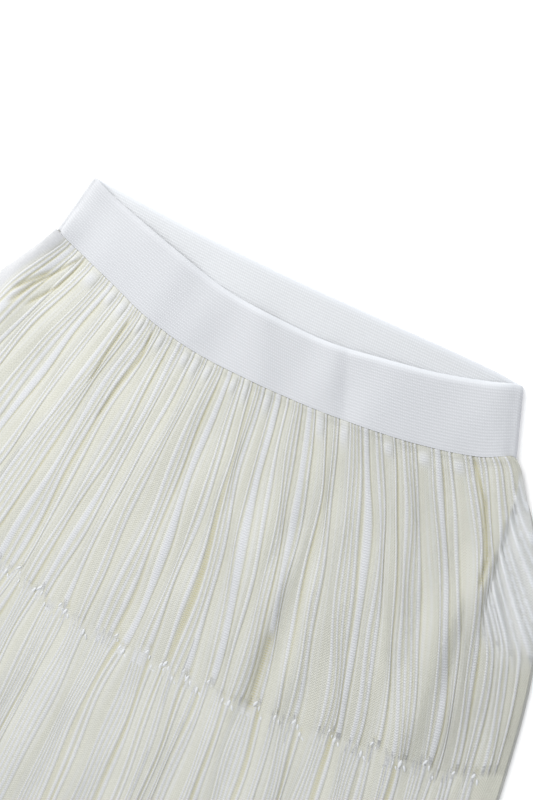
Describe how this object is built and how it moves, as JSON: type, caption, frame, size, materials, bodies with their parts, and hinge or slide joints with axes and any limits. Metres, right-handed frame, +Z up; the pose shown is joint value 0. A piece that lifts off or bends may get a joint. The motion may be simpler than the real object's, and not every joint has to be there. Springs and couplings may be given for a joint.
{
  "type": "knit skirt",
  "caption": "Pull-on ribbed knit skirt laid flat: elastic waistband loop with fanned front and back panels.",
  "frame": {"origin": "on the surface the skirt lies on, under the waistband's back layer, midway between the band's two lower corners", "axes": "+X along the waistband, +Y from the hem towards the waist, +Z up from the surface"},
  "size_m": [0.602, 0.7036, 0.013],
  "materials": {
    "band_knit": "fine elastic knit, matte, cool white",
    "skirt_knit": "ribbed plain knit, matte, off-white"
  },
  "bodies": {
    "root": {"waistband": "band_knit", "skirt_front": "skirt_knit", "skirt_back": "skirt_knit"}
  },
  "joints": []
}
